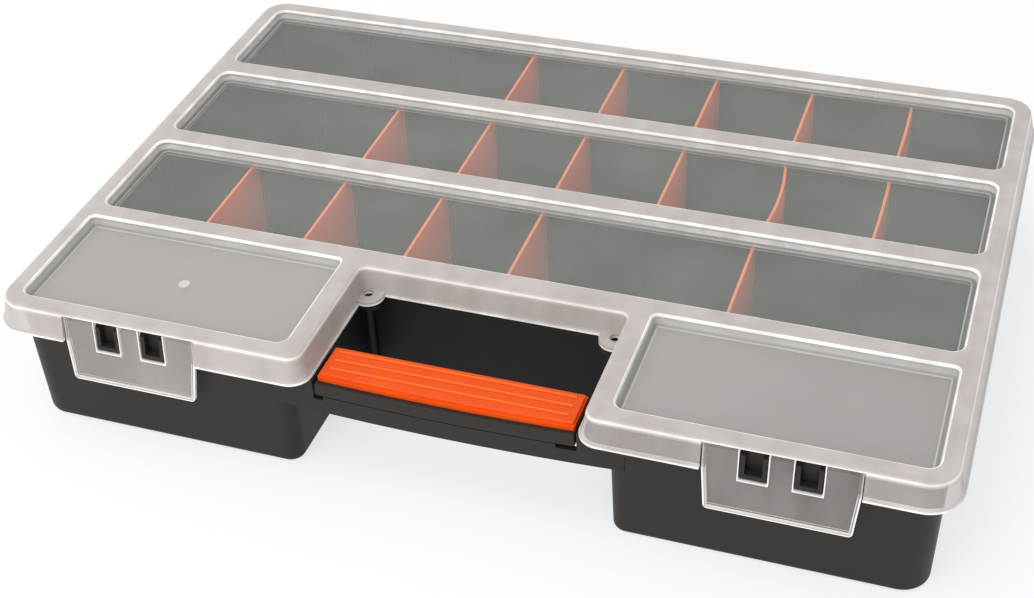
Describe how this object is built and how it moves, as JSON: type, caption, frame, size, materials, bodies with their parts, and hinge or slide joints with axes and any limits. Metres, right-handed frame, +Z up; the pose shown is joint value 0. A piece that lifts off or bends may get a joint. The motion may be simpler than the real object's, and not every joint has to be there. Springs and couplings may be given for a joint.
{
  "type": "compartment organizer case",
  "caption": "Shallow carry organizer with compartment rows, front bins, loose dividers, a clear hinged lid, front latches and a handle bar set in a notch.",
  "frame": {"origin": "under the middle of the closed case, on the surface that it stands on", "axes": "+Z up, +X along the long side to the right, -Y towards the handle and the latches"},
  "size_m": [0.38, 0.266, 0.06],
  "materials": {
    "black_pp": "satin moulded",
    "clear_pp": "translucent, frosted rims and panels with clearer windows",
    "orange_pp": "satin moulded",
    "steel": "plain drawn wire"
  },
  "bodies": {
    "base": {"base_tray": "black_pp", "tray_end_left": "black_pp", "tray_end_right": "black_pp", "bin_left": "black_pp", "bin_right": "black_pp", "notch_frame": "black_pp", "handle_bar": "black_pp", "handle_grip": "orange_pp", "hinge_pin_left": "steel", "hinge_pin_right": "steel", "divider_row_1_slot_3": "orange_pp", "divider_row_1_slot_4": "orange_pp", "divider_row_1_slot_5": "orange_pp", "divider_row_1_slot_6": "orange_pp", "divider_row_1_slot_7": "orange_pp", "divider_row_2_slot_2": "orange_pp", "divider_row_2_slot_3": "orange_pp", "divider_row_2_slot_4": "orange_pp", "divider_row_2_slot_5": "orange_pp", "divider_row_2_slot_6": "orange_pp", "divider_row_2_slot_7": "orange_pp", "divider_row_3_slot_1": "orange_pp", "divider_row_3_slot_2": "orange_pp", "divider_row_3_slot_3": "orange_pp", "divider_row_3_slot_4": "orange_pp", "divider_row_3_slot_6": "orange_pp"},
    "lid": {"lid": "clear_pp"},
    "latch_left": {"latch_left": "clear_pp"},
    "latch_right": {"latch_right": "clear_pp"}
  },
  "joints": [
    {"name": "lid_hinge", "type": "hinge", "parent": "base", "child": "lid", "pos_m": [0, 0.12975, 0.0464], "axis": [-1, 0, 0], "range_deg": [0, 110]},
    {"name": "latch_left_hinge", "type": "hinge", "parent": "lid", "child": "latch_left", "pos_m": [-0.128, -0.1281, 0.0576], "axis": [-1, 0, 0], "range_deg": [0, 90]},
    {"name": "latch_right_hinge", "type": "hinge", "parent": "lid", "child": "latch_right", "pos_m": [0.128, -0.1281, 0.0576], "axis": [-1, 0, 0], "range_deg": [0, 90]}
  ]
}
